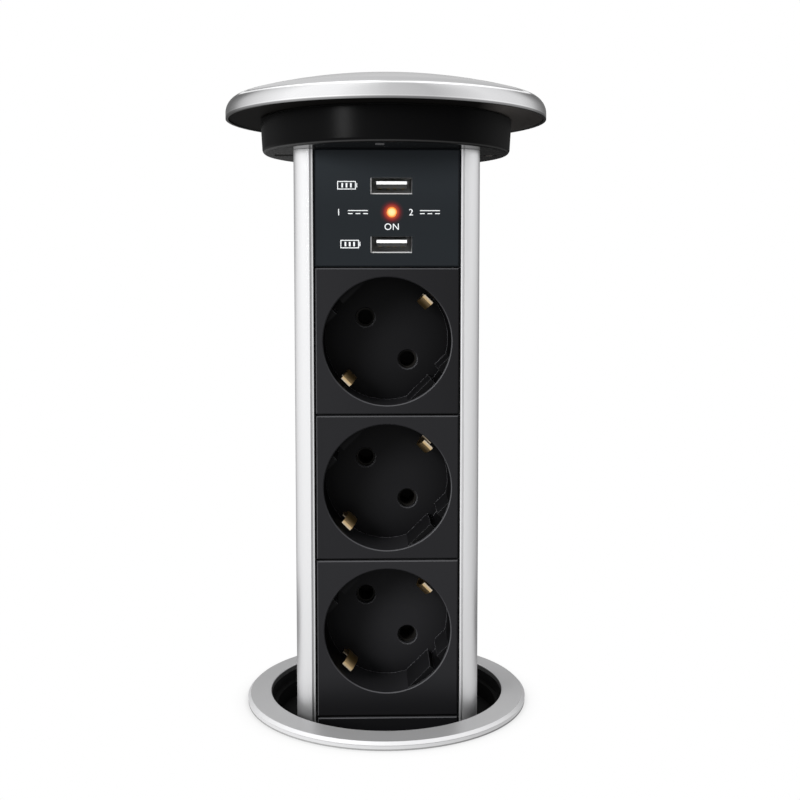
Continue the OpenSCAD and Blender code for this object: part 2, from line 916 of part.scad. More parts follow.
module socket(i) {
    low = socket_z(i) - module_pitch / 2 - (i == len(SOCKETS) ? skirt_h : -seam / 2);
    color("black")
        difference() {
            union() {
                difference() {
                    union() {
                        slotted_plate(low, socket_z(i) + module_pitch / 2 - seam / 2);
                        cup(i);
                    }
                    translate([0, 0, socket_z(i)]) {
                        along_y(recess_r, face_y - cut, floor_front);
                        bevelled_mouth(recess_r, mouth_bevel, face_y);
                    }
                }
                at_socket(i)
                    guide_keys();
            }
            at_socket(i) {
                for (s = [-1, 1]) {
                    translate([s * pin_x, 0, 0]) {
                        along_y(pin_hole_d / 2, floor_front - cut, floor_back + cut);
                        bevelled_mouth(pin_hole_d / 2, pin_bevel, floor_front);
                    }
                    translate([0, 0, s * (arm_out - strap_t / 2)])
                        block([-strap_w / 2 - fit, floor_front - cut, -strap_t / 2 - fit],
                              [strap_w / 2 + fit, floor_back + cut, strap_t / 2 + fit]);
                }
            }
        }
}

// Side view of one earth arm: straight through the floor, then bowed towards the plug on an arc
module earth_arm() {
    tip = face_y + arm_tip;
    bow_back = floor_front - 3 * strap_t;
    half = (bow_back - tip) / 2;
    bow_r = (half * half + arm_bulge * arm_bulge) / (2 * arm_bulge);
    translate([bow_back - strap_t / 2, arm_out - strap_t])
        square([strap_back - bow_back + strap_t / 2, strap_t]);
    intersection() {
        translate([tip + half, arm_out - arm_bulge + bow_r])
            difference() {
                circle(bow_r + strap_t);
                circle(bow_r);
            }
        translate([tip, 0])
            square([bow_back - tip, arm_out]);
    }
}

// Earth strap: a bar behind the floor, two sprung arms that come forward into the recess, and a stud
module earth_strap(i) {
    color("goldenrod")
        at_socket(i) {
            across_x(strap_w) {
                translate([floor_back, -arm_out])
                    square([strap_t, 2 * arm_out]);
                for (s = [0, 1])
                    mirror([0, s])
                        earth_arm();
            }
            along_y(stud_d / 2, strap_back - strap_t / 2, bar_front);
        }
}

module pin_sleeves(i) {
    color("goldenrod")
        at_socket(i)
            for (s = [-1, 1])
                translate([s * pin_x, 0, 0])
                    difference() {
                        along_y(sleeve_r, floor_back, bar_front);
                        along_y(sleeve_bore / 2, floor_back - cut, bar_front - sleeve_proud);
                    }
}

module contact_carrier(i) {
    half_x = pin_x + sleeve_r + carrier_rim;
    half_z = sleeve_r + carrier_rim;
    color("ivory")
        at_socket(i)
            difference() {
                block([-half_x, strap_back, -half_z], [half_x, carrier_back, half_z]);
                for (s = [-1, 1])
                    translate([s * pin_x, 0, 0])
                        along_y(sleeve_r + fit, strap_back - cut, carrier_back + cut);
                along_y(stud_d / 2 + fit, strap_back - cut, carrier_back + cut);
            }
}

// Upright bar behind the sleeves, from the terminal block to a height
module bar(x, width, top) {
    color("goldenrod")
        block([x - width / 2, bar_front, term_top], [x + width / 2, bar_back, top]);
}

module live_bar() {
    bar(-bar_x, bar_w, lead_z + bar_w / 2);
}

module neutral_bar() {
    bar(bar_x, bar_w, lead_z + bar_w / 2);
}

module earth_bar() {
    bar(0, earth_bar_w, socket_z(1) + earth_bar_w);
}

// Places of the three terminals on the front of the block
module at_terminals() {
    for (k = [-1, 0, 1])
        translate([k * term_w / 3, 0, guide_top])
            children();
}

module terminal_block() {
    color("ivory")
        difference() {
            block([-term_w / 2, term_front, guide_top], [term_w / 2, bar_back, term_top]);
            at_terminals() {
                translate([0, 0, term_h / 4])
                    along_y(terminal_bore / 2, term_front - cut, term_front + term_deep / 2);
                translate([0, 0, term_h * 3 / 4])
                    along_y(terminal_screw_d / 2 + fit, term_front - cut, term_front + term_deep / 2);
            }
        }
}

module terminal_screws() {
    color("silver")
        at_terminals()
            translate([0, 0, term_h * 3 / 4])
                along_y(terminal_screw_d / 2, term_front + fit, term_front + term_deep / 2);
}

flange_ring();
flange_gasket();
barrel();
stop_ring();
barrel_cap();
cable_grommet();
clamp_washer();
clamp_nut();
lid_shell();
lid_plate();
lid_clips();
lid_collar();
left_rail();
right_rail();
back_cover();
foot_plate();
guide_foot();
glide_pads();
rail_screws_top();
rail_screws_foot();
usb_panel();
usb_shell(1);  // usb_shell_1
usb_shell(2);  // usb_shell_2
usb_tongues();
lamp_lens();
usb_board();
board_parts();
board_screws();
board_leads();
for (i = SOCKETS) {
    socket(i);
    earth_strap(i);
    pin_sleeves(i);
    contact_carrier(i);
}
live_bar();
neutral_bar();
earth_bar();
terminal_block();
terminal_screws();
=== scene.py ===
"""Pop up desk socket: finishes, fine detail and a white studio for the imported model."""
import math

import bmesh
import bpy
from mathutils import Matrix, Vector


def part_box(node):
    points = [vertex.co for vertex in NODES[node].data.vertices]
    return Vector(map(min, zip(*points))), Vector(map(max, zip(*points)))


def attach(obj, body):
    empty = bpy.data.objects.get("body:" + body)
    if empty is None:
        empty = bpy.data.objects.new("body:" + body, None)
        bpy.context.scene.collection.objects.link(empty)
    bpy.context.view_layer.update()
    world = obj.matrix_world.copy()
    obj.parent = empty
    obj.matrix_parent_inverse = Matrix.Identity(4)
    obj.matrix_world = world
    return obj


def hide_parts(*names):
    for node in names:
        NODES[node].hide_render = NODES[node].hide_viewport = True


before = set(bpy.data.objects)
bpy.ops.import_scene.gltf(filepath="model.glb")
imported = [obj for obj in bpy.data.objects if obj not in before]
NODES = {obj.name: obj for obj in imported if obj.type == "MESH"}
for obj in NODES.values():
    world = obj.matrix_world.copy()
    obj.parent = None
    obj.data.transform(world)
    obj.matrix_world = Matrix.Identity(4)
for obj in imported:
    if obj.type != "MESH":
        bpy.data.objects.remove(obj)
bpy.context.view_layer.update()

bl_info = {
    "name": "Pop Up Desk Socket",
    "version": (1, 0, 0),
    "blender": (4, 5, 0),
    "location": "View3D > Sidebar > Desk Socket",
    "description": "Dresses the packed pop up desk socket and sets up its studio",
    "category": "Object",
}

MM = 0.001
PORT_NUMBERS = (1, 2)
# Points closer than this are one point
MERGE_DISTANCE = 1e-7
# Edges that turn by more than this stay sharp
SHARP_ANGLE = math.radians(35)
# Rays that look round a softened edge
EDGE_SAMPLES = 6


def low_of(node):
    """Lowest corner of a CAD node."""
    return Vector(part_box(node)[0])


def high_of(node):
    """Highest corner of a CAD node."""
    return Vector(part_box(node)[1])


def middle_of(node):
    """Middle of a CAD node's box."""
    return (low_of(node) + high_of(node)) / 2


PANEL_FACE = low_of("usb_panel").y
PANEL_HALF = high_of("foot_plate").x
LAMP = middle_of("lamp_lens")
LAMP_R = high_of("lamp_lens").x - LAMP.x
BORE_R = high_of("stop_ring").x
RAIL_EDGE = low_of("right_rail").x


# Sizes and colours that a user would change

class DeskSocketSizes(bpy.types.PropertyGroup):
    """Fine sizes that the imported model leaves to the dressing."""
    recess_depth: bpy.props.FloatProperty(
        name="Recess depth", description="Depth of a plug recess behind the plate",
        default=17.5 * MM, subtype="DISTANCE", unit="LENGTH")
    groove_land: bpy.props.FloatProperty(
        name="Groove land", description="Land between a rail's edge and its groove",
        default=0.45 * MM, subtype="DISTANCE", unit="LENGTH")
    groove_w: bpy.props.FloatProperty(
        name="Groove width", description="Width of a rail's groove",
        default=0.6 * MM, subtype="DISTANCE", unit="LENGTH")
    thread_pitch: bpy.props.FloatProperty(
        name="Thread pitch", description="Rise of the barrel's thread in one turn",
        default=4 * MM, subtype="DISTANCE", unit="LENGTH")
    thread_depth: bpy.props.FloatProperty(
        name="Thread depth", description="Height of the barrel's thread",
        default=0.8 * MM, subtype="DISTANCE", unit="LENGTH")
    rib_w: bpy.props.FloatProperty(
        name="Rib width", description="Width of the two ribs inside the barrel",
        default=4 * MM, subtype="DISTANCE", unit="LENGTH")
    rib_h: bpy.props.FloatProperty(
        name="Rib height", description="Height of those ribs",
        default=1.4 * MM, subtype="DISTANCE", unit="LENGTH")
    window_w: bpy.props.FloatProperty(
        name="Window width", description="Width of the windows for the cap's lugs",
        default=8.2 * MM, subtype="DISTANCE", unit="LENGTH")
    window_h: bpy.props.FloatProperty(
        name="Window height", description="Height of those windows",
        default=3.2 * MM, subtype="DISTANCE", unit="LENGTH")
    ink_t: bpy.props.FloatProperty(
        name="Ink thickness", description="Thickness of the printed marks",
        default=0.02 * MM, subtype="DISTANCE", unit="LENGTH")
    ink_line: bpy.props.FloatProperty(
        name="Ink line", description="Width of a line in the printed signs",
        default=0.26 * MM, subtype="DISTANCE", unit="LENGTH")
    letter_h: bpy.props.FloatProperty(
        name="Letter height", description="Height of the printed letters and numbers",
        default=1.95 * MM, subtype="DISTANCE", unit="LENGTH")
    glow_r: bpy.props.FloatProperty(
        name="Glow radius", description="Reach of the lamp's red glow on the panel",
        default=4.2 * MM, subtype="DISTANCE", unit="LENGTH")


class DeskSocketFinishes(bpy.types.PropertyGroup):
    """Base colours of the finishes."""
    silver: bpy.props.FloatVectorProperty(
        name="Silver", description="Satin aluminium of the lid, rails and flange",
        default=(0.80, 0.80, 0.81), subtype="COLOR", min=0, max=1)
    panel_black: bpy.props.FloatVectorProperty(
        name="Panel black", description="Satin black of the USB panel",
        default=(0.0135, 0.0160, 0.0185), subtype="COLOR", min=0, max=1)
    plate_black: bpy.props.FloatVectorProperty(
        name="Plate black", description="Satin black of the socket inserts and covers",
        default=(0.0150, 0.0150, 0.0164), subtype="COLOR", min=0, max=1)
    # Colour of the painted highlights along the edges of the black mouldings, where light catches them
    edge_glint_grey: bpy.props.FloatVectorProperty(
        name="Edge grey", description="Worn edges of the black mouldings",
        default=(0.085, 0.085, 0.09), subtype="COLOR", min=0, max=1)
    gloss_black: bpy.props.FloatVectorProperty(
        name="Gloss black", description="Polished black of the collar",
        default=(0.0022, 0.0022, 0.0023), subtype="COLOR", min=0, max=1)
    brass: bpy.props.FloatVectorProperty(
        name="Brass", description="Stamped brass of the earth arms",
        default=(0.78, 0.57, 0.30), subtype="COLOR", min=0, max=1)
    ink: bpy.props.FloatVectorProperty(
        name="Ink", description="White ink of the printed marks",
        default=(0.75, 0.77, 0.78), subtype="COLOR", min=0, max=1)


class DeskSocketStage(bpy.types.PropertyGroup):
    """Camera, desk board and light."""
    sensor: bpy.props.FloatProperty(
        name="Sensor", description="Width of the camera's sensor in millimetres", default=36, unit="CAMERA")
    lens: bpy.props.FloatProperty(
        name="Lens", description="Focal length on that sensor", default=51.386, unit="CAMERA")
    camera_place: bpy.props.FloatVectorProperty(
        name="Camera", description="Place of the camera",
        default=(-0.005228, -0.36659, 0.138167), subtype="XYZ", unit="LENGTH")
    camera_pitch: bpy.props.FloatProperty(
        name="Pitch", description="Downward tilt of the camera",
        default=math.radians(4.533), subtype="ANGLE")
    camera_yaw: bpy.props.FloatProperty(
        name="Yaw", description="Turn of the camera to the right",
        default=math.radians(1.504), subtype="ANGLE")
    camera_shift: bpy.props.FloatProperty(
        name="Shift", description="Upward shift of the frame, in frame widths", default=-0.045)
    desk_r: bpy.props.FloatProperty(
        name="Desk radius", description="Radius of the board that the socket stands in",
        default=0.16, subtype="DISTANCE", unit="LENGTH")
    desk_t: bpy.props.FloatProperty(
        name="Desk thickness", description="Thickness of that board",
        default=0.025, subtype="DISTANCE", unit="LENGTH")
    desk_hole_r: bpy.props.FloatProperty(
        name="Desk hole", description="Radius of the hole in that board",
        default=0.040, subtype="DISTANCE", unit="LENGTH")
    key_place: bpy.props.FloatVectorProperty(
        name="Key light", description="Place of the soft light on the front",
        default=(-0.62, -0.74, 0.42), subtype="XYZ", unit="LENGTH")
    key_aim: bpy.props.FloatVectorProperty(
        name="Key aim", description="Point that this light faces",
        default=(0, 0, 0.09), subtype="XYZ", unit="LENGTH")
    key_size: bpy.props.FloatProperty(
        name="Key size", description="Width of this light",
        default=0.4, subtype="DISTANCE", unit="LENGTH")
    key_watts: bpy.props.FloatProperty(
        name="Key power", description="Power of this light", default=9.0, unit="POWER")
    sheen_place: bpy.props.FloatVectorProperty(
        name="Sheen light", description="Place of the small light on the collar",
        default=(-0.51, -0.656, 0.265), subtype="XYZ", unit="LENGTH")
    sheen_size: bpy.props.FloatProperty(
        name="Sheen size", description="Width of the small light",
        default=0.2, subtype="DISTANCE", unit="LENGTH")
    sheen_watts: bpy.props.FloatProperty(
        name="Sheen power", description="Power of the small light", default=3.2, unit="POWER")


# Meshes

def finish_piece(bm, name, body, material, replaced=()):
    """Makes a bmesh a piece of the object that rides on a body and takes a finish."""
    bmesh.ops.remove_doubles(bm, verts=bm.verts, dist=MERGE_DISTANCE)
    bmesh.ops.recalc_face_normals(bm, faces=bm.faces)
    mesh = bpy.data.meshes.new(name)
    bm.to_mesh(mesh)
    bm.free()
    mesh.shade_smooth()
    mesh.set_sharp_from_angle(angle=SHARP_ANGLE)
    piece = bpy.data.objects.new(name, mesh)
    bpy.context.scene.collection.objects.link(piece)
    mesh.materials.append(material)
    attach(piece, body)
    if replaced:
        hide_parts(*replaced)


def dress(material, *names):
    """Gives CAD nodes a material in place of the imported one."""
    for name in names:
        NODES[name].data.materials[0] = material


def block(bm, low, high):
    """Adds a box between two corners."""
    low, high = Vector(low), Vector(high)
    place = Matrix.Translation((low + high) / 2) @ Matrix.Diagonal((*(high - low), 1))
    return bmesh.ops.create_cube(bm, size=1, matrix=place)["verts"]


def soften(bm, edges, size):
    """Rounds edges a little."""
    bmesh.ops.bevel(bm, geom=edges, offset=size, offset_type="OFFSET", affect="EDGES",
                    segments=2, profile=0.5, material=-1)


def outline(bm, section):
    """Adds a closed line through (radius, height) points."""
    verts = [bm.verts.new((r, 0, z)) for r, z in section]
    edges = [bm.edges.new(pair) for pair in zip(verts, verts[1:] + verts[:1])]
    return verts + edges


def lathe(bm, section, steps=128):
    """Spins a closed section of (radius, height) points once round the Z axis."""
    bmesh.ops.spin(bm, geom=outline(bm, section), axis=(0, 0, 1), cent=(0, 0, 0),
                   angle=2 * math.pi, steps=steps, use_merge=True)


def add_copy(bm, part):
    """Adds the mesh of part to bm and frees part."""
    mesh = bpy.data.meshes.new("part")
    part.to_mesh(mesh)
    part.free()
    bm.from_mesh(mesh)
    bpy.data.meshes.remove(mesh)


def carve(bm, cutter):
    """Returns bm with the boxes of cutter taken out of it."""
    names = ("carved", "cutter")
    whole, knife = (bpy.data.objects.new(name, bpy.data.meshes.new(name)) for name in names)
    for obj, source in ((whole, bm), (knife, cutter)):
        bmesh.ops.remove_doubles(source, verts=source.verts, dist=MERGE_DISTANCE)
        bmesh.ops.recalc_face_normals(source, faces=source.faces)
        source.to_mesh(obj.data)
        source.free()
        bpy.context.scene.collection.objects.link(obj)
    cut = whole.modifiers.new("windows", "BOOLEAN")
    cut.operation = "DIFFERENCE"
    cut.object = knife
    view = bpy.context.evaluated_depsgraph_get()
    result = bpy.data.meshes.new_from_object(whole.evaluated_get(view))
    carved = bmesh.new()
    carved.from_mesh(result)
    for obj in (whole, knife):
        bpy.data.objects.remove(obj)
    bpy.data.meshes.remove(result)
    return carved


# Materials

class Tree:
    """A node tree under construction."""

    def __init__(self, tree):
        self.tree = tree
        tree.nodes.clear()

    def add(self, kind, inputs=None, **settings):
        """Adds a node, sets its options, and links or sets its inputs."""
        node = self.tree.nodes.new("ShaderNode" + kind)
        for key, value in settings.items():
            setattr(node, key, value)
        for key, value in (inputs or {}).items():
            if isinstance(value, bpy.types.NodeSocket):
                self.tree.links.new(value, node.inputs[key])
            else:
                node.inputs[key].default_value = value
        return node

    def link(self, output, node, key):
        """Joins an output to a named input."""
        self.tree.links.new(output, node.inputs[key])

    def math(self, operation, a, b=0.0):
        """One arithmetic step."""
        return self.add("Math", {0: a, 1: b}, operation=operation).outputs[0]

    def times(self, first, *others):
        """Product of several values."""
        for other in others:
            first = self.math("MULTIPLY", first, other)
        return first

    def total(self, first, *others):
        """Sum of several values."""
        for other in others:
            first = self.math("ADD", first, other)
        return first

    def vector(self, operation, a, b=(0, 0, 0)):
        """One step of vector arithmetic."""
        node = self.add("VectorMath", {0: a, 1: b}, operation=operation)
        return node.outputs["Value" if operation in {"DOT_PRODUCT", "LENGTH"} else "Vector"]

    def split(self, vector):
        """The three parts of a vector."""
        return self.add("SeparateXYZ", {0: vector}).outputs

    def span(self, value, low, high, start=0.0, end=1.0, kind="SMOOTHSTEP"):
        """Maps a value from low..high to start..end, held outside that range."""
        ends = {0: value, 1: low, 2: high, 3: start, 4: end}
        return self.add("MapRange", ends, interpolation_type=kind).outputs[0]

    def ramp(self, factor, *stops):
        """A colour ramp over (place, grey or colour) stops."""
        node = self.add("ValToRGB", {0: factor})
        elements = node.color_ramp.elements
        while len(elements) < len(stops):
            elements.new(1.0)
        for element, (place, colour) in zip(elements, stops):
            element.position = place
            element.color = (*colour, 1) if isinstance(colour, tuple) else (colour,) * 3 + (1,)
        return node.outputs[0]

    def blend(self, factor, first, second):
        """Mixes two colours."""
        return self.add("Mix", {0: factor, 6: first, 7: second}, data_type="RGBA").outputs[2]

    def between(self, factor, first, second):
        """Mixes two values."""
        return self.add("Mix", {0: factor, 2: first, 3: second}, data_type="FLOAT").outputs[0]

    def spot(self):
        """The point on the piece, in its own coordinates."""
        return self.add("TexCoord").outputs["Object"]

    def place(self):
        """The same point as three separate outputs."""
        return self.split(self.spot())

    def radius(self):
        """Distance of the point from the upright axis."""
        return self.vector("LENGTH", self.vector("MULTIPLY", self.spot(), (1, 1, 0)))

    def away(self, x, z):
        """Distance of the point from an axis that runs to the front at x, z."""
        offset = self.vector("SUBTRACT", self.spot(), (x, 0, z))
        return self.vector("LENGTH", self.vector("MULTIPLY", offset, (1, 0, 1)))

    def face(self):
        """The direction of the face itself, without smoothing."""
        return self.add("NewGeometry").outputs["True Normal"]

    def upward(self):
        """How far the face looks up, from -1 to 1."""
        return self.split(self.face())[2]


def scaled(colour, factor):
    """A colour times a factor."""
    return tuple(factor * c for c in colour)


def grain(size, stretch=(1, 1, 1)):
    """Noise on the piece's own coordinates, with grains of about that size."""
    def noise(tree):
        spread = tuple(s / size for s in stretch)
        place = tree.add("Mapping", {"Vector": tree.spot(), "Scale": spread}).outputs[0]
        return tree.add("TexNoise", {"Vector": place, "Scale": 1.0, "Detail": 2.0}).outputs[0]
    return noise


def turned_rings(tree):
    """Fine concentric lines left by the lathe."""
    rings_per_metre = 6000.0
    across = tree.math("MULTIPLY", tree.radius(), rings_per_metre)
    return tree.add("TexNoise", {"W": across, "Scale": 1.0, "Detail": 1.0}, noise_dimensions="1D").outputs[0]


def surface(name, colour, rough, noise=None, swing=0.0, bump=0.0, tint=0.0, edge=0.0, **sockets):
    """Principled finish whose roughness, relief and tone follow a noise, with softened edges."""
    material = bpy.data.materials.new(name)
    material.use_nodes = True
    tree = Tree(material.node_tree)
    shader = tree.add("BsdfPrincipled", {"Base Color": (*colour, 1), "Roughness": rough})
    for key, value in sockets.items():
        shader.inputs[key.replace("_", " ")].default_value = value
    tree.add("OutputMaterial", {"Surface": shader.outputs[0]})
    value = noise(tree) if noise else None
    if swing:
        tree.link(tree.span(value, 0, 1, rough - swing, rough + swing, "LINEAR"), shader, "Roughness")
    if tint:
        low = scaled(colour, 1 - tint)
        high = tuple(min(1.0, c) for c in scaled(colour, 1 + tint))
        tree.link(tree.ramp(value, (0.3, low), (0.7, high)), shader, "Base Color")
    soft = tree.add("Bevel", {"Radius": edge}, samples=EDGE_SAMPLES).outputs[0] if edge else None
    if bump:
        relief = tree.add("Bump", {"Height": value, "Distance": bump, "Strength": 1.0})
        if soft:
            tree.link(soft, relief, "Normal")
        soft = relief.outputs[0]
    if soft:
        tree.link(soft, shader, "Normal")
    return material, tree, shader


def toned(made, colour, tone):
    """Multiplies a finish's colour by a tone from 0 to 1 that follows the place on the piece."""
    material, tree, shader = made
    tree.link(tree.ramp(tone, (0.0, 0.0), (1.0, colour)), shader, "Base Color")
    return material


def edge_glint(tree, reach):
    """How much an edge, or the front of a bevel, shows light from the upper left, from 0 to 1."""
    light = Vector((-0.45, -0.2, 0.87)).normalized()
    bevel_front, bevel_back = PANEL_FACE + 0.1 * MM, PANEL_FACE + 0.35 * MM
    flat = tree.face()
    soft = tree.add("Bevel", {"Radius": reach}, samples=EDGE_SAMPLES).outputs[0]
    edge = tree.span(tree.vector("DOT_PRODUCT", flat, soft), 0.86, 0.99, 1.0, 0.0)
    slope = tree.split(flat)[1]
    bevel = tree.times(tree.span(slope, -0.9, -0.8), tree.span(slope, -0.6, -0.5, 1.0, 0.0),
                       tree.span(tree.place()[1], bevel_front, bevel_back, 1.0, 0.15))
    facing = tree.span(tree.vector("DOT_PRODUCT", soft, light), -0.3, 0.75)
    return tree.times(tree.math("MAXIMUM", edge, bevel), facing)


def moulding(name, colour, edge_glint_grey, tone):
    """Satin black moulding whose tone is painted shade and light that follow the place, with painted
    highlights on its edges that are paler in a recess.
    """
    brightest, recess_glint_gain, edge_reach = 1.4, 3, 0.12 * MM
    recess_front, recess_back = PANEL_FACE + 0.5 * MM, PANEL_FACE + 3 * MM
    material, tree, shader = surface(name, colour, 0.42, grain(0.25 * MM), 0.05, 0.002 * MM,
                                     Specular_IOR_Level=0.05)
    shade = tree.math("DIVIDE", tone(tree), brightest)
    base = tree.ramp(shade, (0.0, 0.0), (1.0, scaled(colour, brightest)))
    deep = tree.span(tree.place()[1], recess_front, recess_back)
    edge = tree.ramp(deep, (0.0, edge_glint_grey), (1.0, scaled(edge_glint_grey, recess_glint_gain)))
    tree.link(tree.blend(edge_glint(tree, edge_reach), base, edge), shader, "Base Color")
    return material, tree, shader


def skirt_tone(tree):
    """Darkens the foot of the column, which stands in the shade of the flange."""
    return tree.span(tree.place()[2], 2 * MM, 15 * MM, 0.45, 1.0)


def panel_tone(tree):
    """Evens out the shade of the collar on the panel below it."""
    top, shade_h = high_of("usb_panel").z, 22 * MM
    return tree.span(tree.place()[2], top - shade_h, top, 1.0, 1.4)


def socket_tone(middle, depth, left, right, floor):
    """Painted shade and light on a socket insert, which is dark in its recess but for the floor and the
    painted light on the lower wall, and lighter to one side of its plate.
    """
    lit_x, lit_z = middle.x + 4 * MM, middle.z - 2.5 * MM
    lit_reach, lower_wall_light = 1.3 * depth, 1.3
    rim_start, rim_end = 0.03, 0.065

    def tone(tree):
        x, y, _ = tree.place()
        plate = tree.span(x, -PANEL_HALF, PANEL_HALF, left, right, "LINEAR")
        deep = tree.span(y, PANEL_FACE, PANEL_FACE + depth, kind="LINEAR")
        sides = tree.ramp(deep, (0.0, 1.0), (rim_start, 1.0), (rim_end, 0.30), (0.6, 0.34), (0.95, floor))
        far = tree.math("DIVIDE", tree.away(lit_x, lit_z), lit_reach)
        shade = tree.ramp(far, (0.25, 1.0), (0.58, 0.76), (0.95, 0.38))
        inside = tree.span(deep, rim_start, rim_end)
        vignette = tree.total(tree.math("SUBTRACT", 1.0, inside), tree.times(inside, shade))
        lower = tree.times(inside, tree.span(tree.upward(), 0.5, 0.95), lower_wall_light)
        recess = tree.math("MAXIMUM", tree.times(sides, vignette), lower)
        return tree.times(plate, recess, skirt_tone(tree))
    return tone


def lamp_glow(made, reach, *stops):
    """Adds an emission to a finish that follows the distance from the lamp."""
    material, tree, shader = made
    far = tree.math("DIVIDE", tree.away(LAMP.x, LAMP.z), reach)
    tree.link(tree.ramp(far, *stops), shader, "Emission Color")
    shader.inputs["Emission Strength"].default_value = 1.0
    return material


def depth_shading(made, front, depth, bright, dark, deep):
    """Colours a finish with painted light and shade: bright at its front edge, painted shade behind that and
    lighter again deep inside.
    """
    material, tree, shader = made
    reach = 6 * MM
    inwards = tree.span(tree.place()[1], front, front + reach, kind="LINEAR")
    edge = depth / reach
    tree.link(tree.ramp(inwards, (edge / 2, bright), (edge, dark), (1.0, deep)), shader, "Base Color")
    return material


def lid_finish(silver):
    """Satin lid with a painted highlight line and a band of painted shade along the lower edge of its rim.
    """
    foot, shade_band_h, dome_tone = low_of("lid_shell").z, 2 * MM, 0.9
    made = surface("lid_satin", silver, 0.13, grain(0.4 * MM), 0.02, 0.0004 * MM, Metallic=1.0)
    tree = made[1]
    height = tree.span(tree.place()[2], foot, foot + shade_band_h, kind="LINEAR")
    tone = tree.ramp(height, (0.0, 0.22), (0.30, 0.40), (0.36, 1.0), (0.48, 1.0), (0.54, dome_tone))
    return toned(made, scaled(silver, 1 / dome_tone), tone)


def rail_finish(silver, sizes):
    """Brushed rail with painted light that makes it a little lighter to its top, and painted shade in a
    darker groove near its inner edge, darker on the left rail than on the right.
    """
    reach, gain = 2 * MM, 1.2
    left_rail_shading, right_rail_shading = (0.7, 0.42, 0.83), (1.0, 0.7, 0.9)
    made = surface("rail_brushed", silver, 0.3, grain(0.16 * MM, (1, 1, 0.01)), 0.0, 0.001 * MM,
                   edge=0.2 * MM, Metallic=0.85)
    _, tree, shader = made
    x, _, z = tree.place()
    across = tree.math("DIVIDE", tree.math("SUBTRACT", tree.math("ABSOLUTE", x), RAIL_EDGE), reach)
    start = sizes.groove_land / reach
    end = start + sizes.groove_w / reach
    sides = (tree.ramp(across, (start - 0.02, land), (start + 0.03, line),
                       (end - 0.03, line), (end + 0.02, rest))
             for land, line, rest in (left_rail_shading, right_rail_shading))
    lines = tree.blend(tree.span(x, -MM, MM), *sides)
    height = tree.span(z, 20 * MM, 170 * MM, 0.90, 1.0, "LINEAR")
    tree.link(tree.span(z, 0, 30 * MM, 0.45, 0.3), shader, "Roughness")
    return toned(made, scaled(silver, gain), tree.times(lines, height))


def flange_finish(silver):
    """Turned flange with painted light and shade: a greyer flat top, lighter to the right and the back, and
    painted shade in its dark bore.
    """
    gain = 1.2
    made = surface("flange_turned", silver, 0.36, turned_rings, 0.05, 0.001 * MM,
                   edge=0.15 * MM, Metallic=0.45)
    tree = made[1]
    slope = tree.span(tree.upward(), -1, 1, kind="LINEAR")
    face = tree.ramp(slope, (0.2, 0.45), (0.35, 0.72), (0.6, 0.72), (0.75, 0.8), (0.925, 0.8), (0.975, 0.5))
    bore_shade = tree.span(tree.radius(), BORE_R - 0.1 * MM, BORE_R + 0.3 * MM, 0.05, 1.0)
    x, y, _ = tree.place()
    side = tree.span(x, -40 * MM, 40 * MM, 0.93, 1.06, "LINEAR")
    back = tree.times(tree.span(x, 0, 30 * MM), tree.span(y, -10 * MM, 30 * MM, 0.0, 0.25))
    return toned(made, scaled(silver, gain), tree.times(face, bore_shade, side, tree.math("ADD", back, 1.0)))


def barrel_finish(colour):
    """Fine textured barrel, with painted shade that makes it dark inside."""
    made = surface("barrel_black", colour, 0.5, grain(0.6 * MM), 0.08, 0.01 * MM, Specular_IOR_Level=0.2)
    tree = made[1]
    return toned(made, colour, tree.span(tree.radius(), BORE_R + 0.2 * MM, BORE_R + 0.8 * MM, 0.35, 1.0))


def collar_finish(gloss):
    """Collar, duller to the right, with painted highlights that make its edges and right end pale, and a
    polished underside that mirrors the rails, with a painted reflection on its left.
    """
    highlight_grey = (0.09, 0.09, 0.09, 1)
    edge_start, edge_end = 0.3 * MM, 0.8 * MM
    material, tree, shader = surface("collar_gloss", gloss, 0.2, edge=0.3 * MM, Specular_IOR_Level=0.024)
    x, _, z = tree.place()
    low, high = low_of("lid_collar").z, high_of("lid_collar").z
    slope = tree.upward()
    under = tree.span(slope, -0.9, -0.6, 1.0, 0.0)
    lower_edge = tree.span(z, low + edge_start, low + edge_end, 0.5, 0.0)
    painted_light = tree.total(
        tree.times(lower_edge, tree.math("SUBTRACT", 1.0, under)),
        tree.span(z, high - edge_end, high - edge_start, 0.0, 0.12),
        tree.times(under, tree.span(x, -30 * MM, -16 * MM, 0.4, 0.05)),
        tree.span(x, 20 * MM, 38 * MM, 0.0, 0.1))
    tree.link(tree.blend(painted_light, (*gloss, 1), highlight_grey), shader, "Base Color")
    rough = tree.times(tree.span(x, -10 * MM, 15 * MM, 0.26, 0.45), tree.span(slope, -0.9, -0.6, 0.35, 1.0))
    tree.link(rough, shader, "Roughness")
    return material


def arm_finish(name, brass, middle):
    """Stamped brass with a painted highlight that makes the tips of its arms pale, and painted shade that
    makes them brown where they bow into the recess.
    """
    bow_r, tip_r = 15.5 * MM, 18.3 * MM
    shade_brown, dull, painted_light = (0.22, 0.14, 0.05), (0.5, 0.35, 0.18), (0.64, 0.54, 0.41)
    material, tree, shader = surface(name, brass, 0.36, grain(0.5 * MM), 0.06, 0.001 * MM, Metallic=0.92)
    out = tree.span(tree.away(middle.x, middle.z), bow_r, tip_r, kind="LINEAR")
    colours = tree.ramp(out, (0.05, shade_brown), (0.4, dull), (0.75, scaled(brass, 0.8)), (0.92, painted_light))
    tree.link(colours, shader, "Base Color")
    return material


